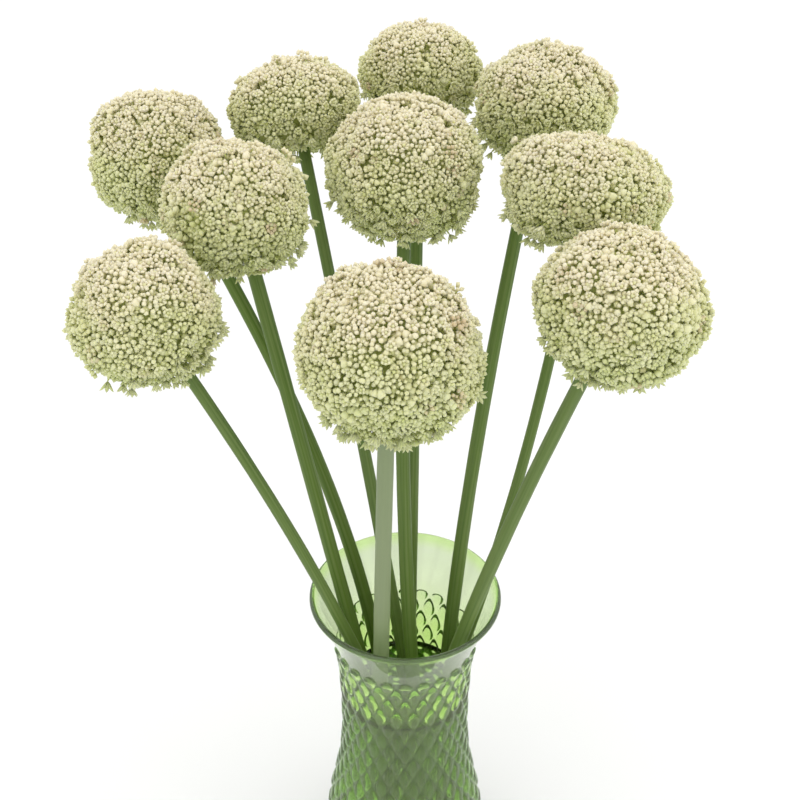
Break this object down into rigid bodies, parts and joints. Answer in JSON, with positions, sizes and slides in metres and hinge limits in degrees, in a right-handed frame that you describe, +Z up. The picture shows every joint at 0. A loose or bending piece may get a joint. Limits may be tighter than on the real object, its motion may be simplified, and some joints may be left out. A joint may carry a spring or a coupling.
{
  "type": "alliums in a glass vase",
  "caption": "Cream ball-headed alliums on tall green stems, standing in water in a flared green glass vase with a pattern of raised diamonds.",
  "frame": {"origin": "centre of the vase's flat underside", "axes": "+Z up along the vase's axis, -Y towards the front"},
  "size_m": [0.3004, 0.2953, 0.5226],
  "materials": {
    "glass": "gloss",
    "water": "gloss",
    "stem": "satin",
    "florets": "matte"
  },
  "bodies": {
    "root": {"vase": "glass", "water": "water", "stem_01": "stem", "stem_02": "stem", "stem_03": "stem", "stem_04": "stem", "stem_05": "stem", "stem_06": "stem", "stem_07": "stem", "stem_08": "stem", "stem_09": "stem", "stem_10": "stem", "flower_head_01": "florets", "flower_head_02": "florets", "flower_head_03": "florets", "flower_head_04": "florets", "flower_head_05": "florets", "flower_head_06": "florets", "flower_head_07": "florets", "flower_head_08": "florets", "flower_head_09": "florets", "flower_head_10": "florets"}
  },
  "joints": []
}
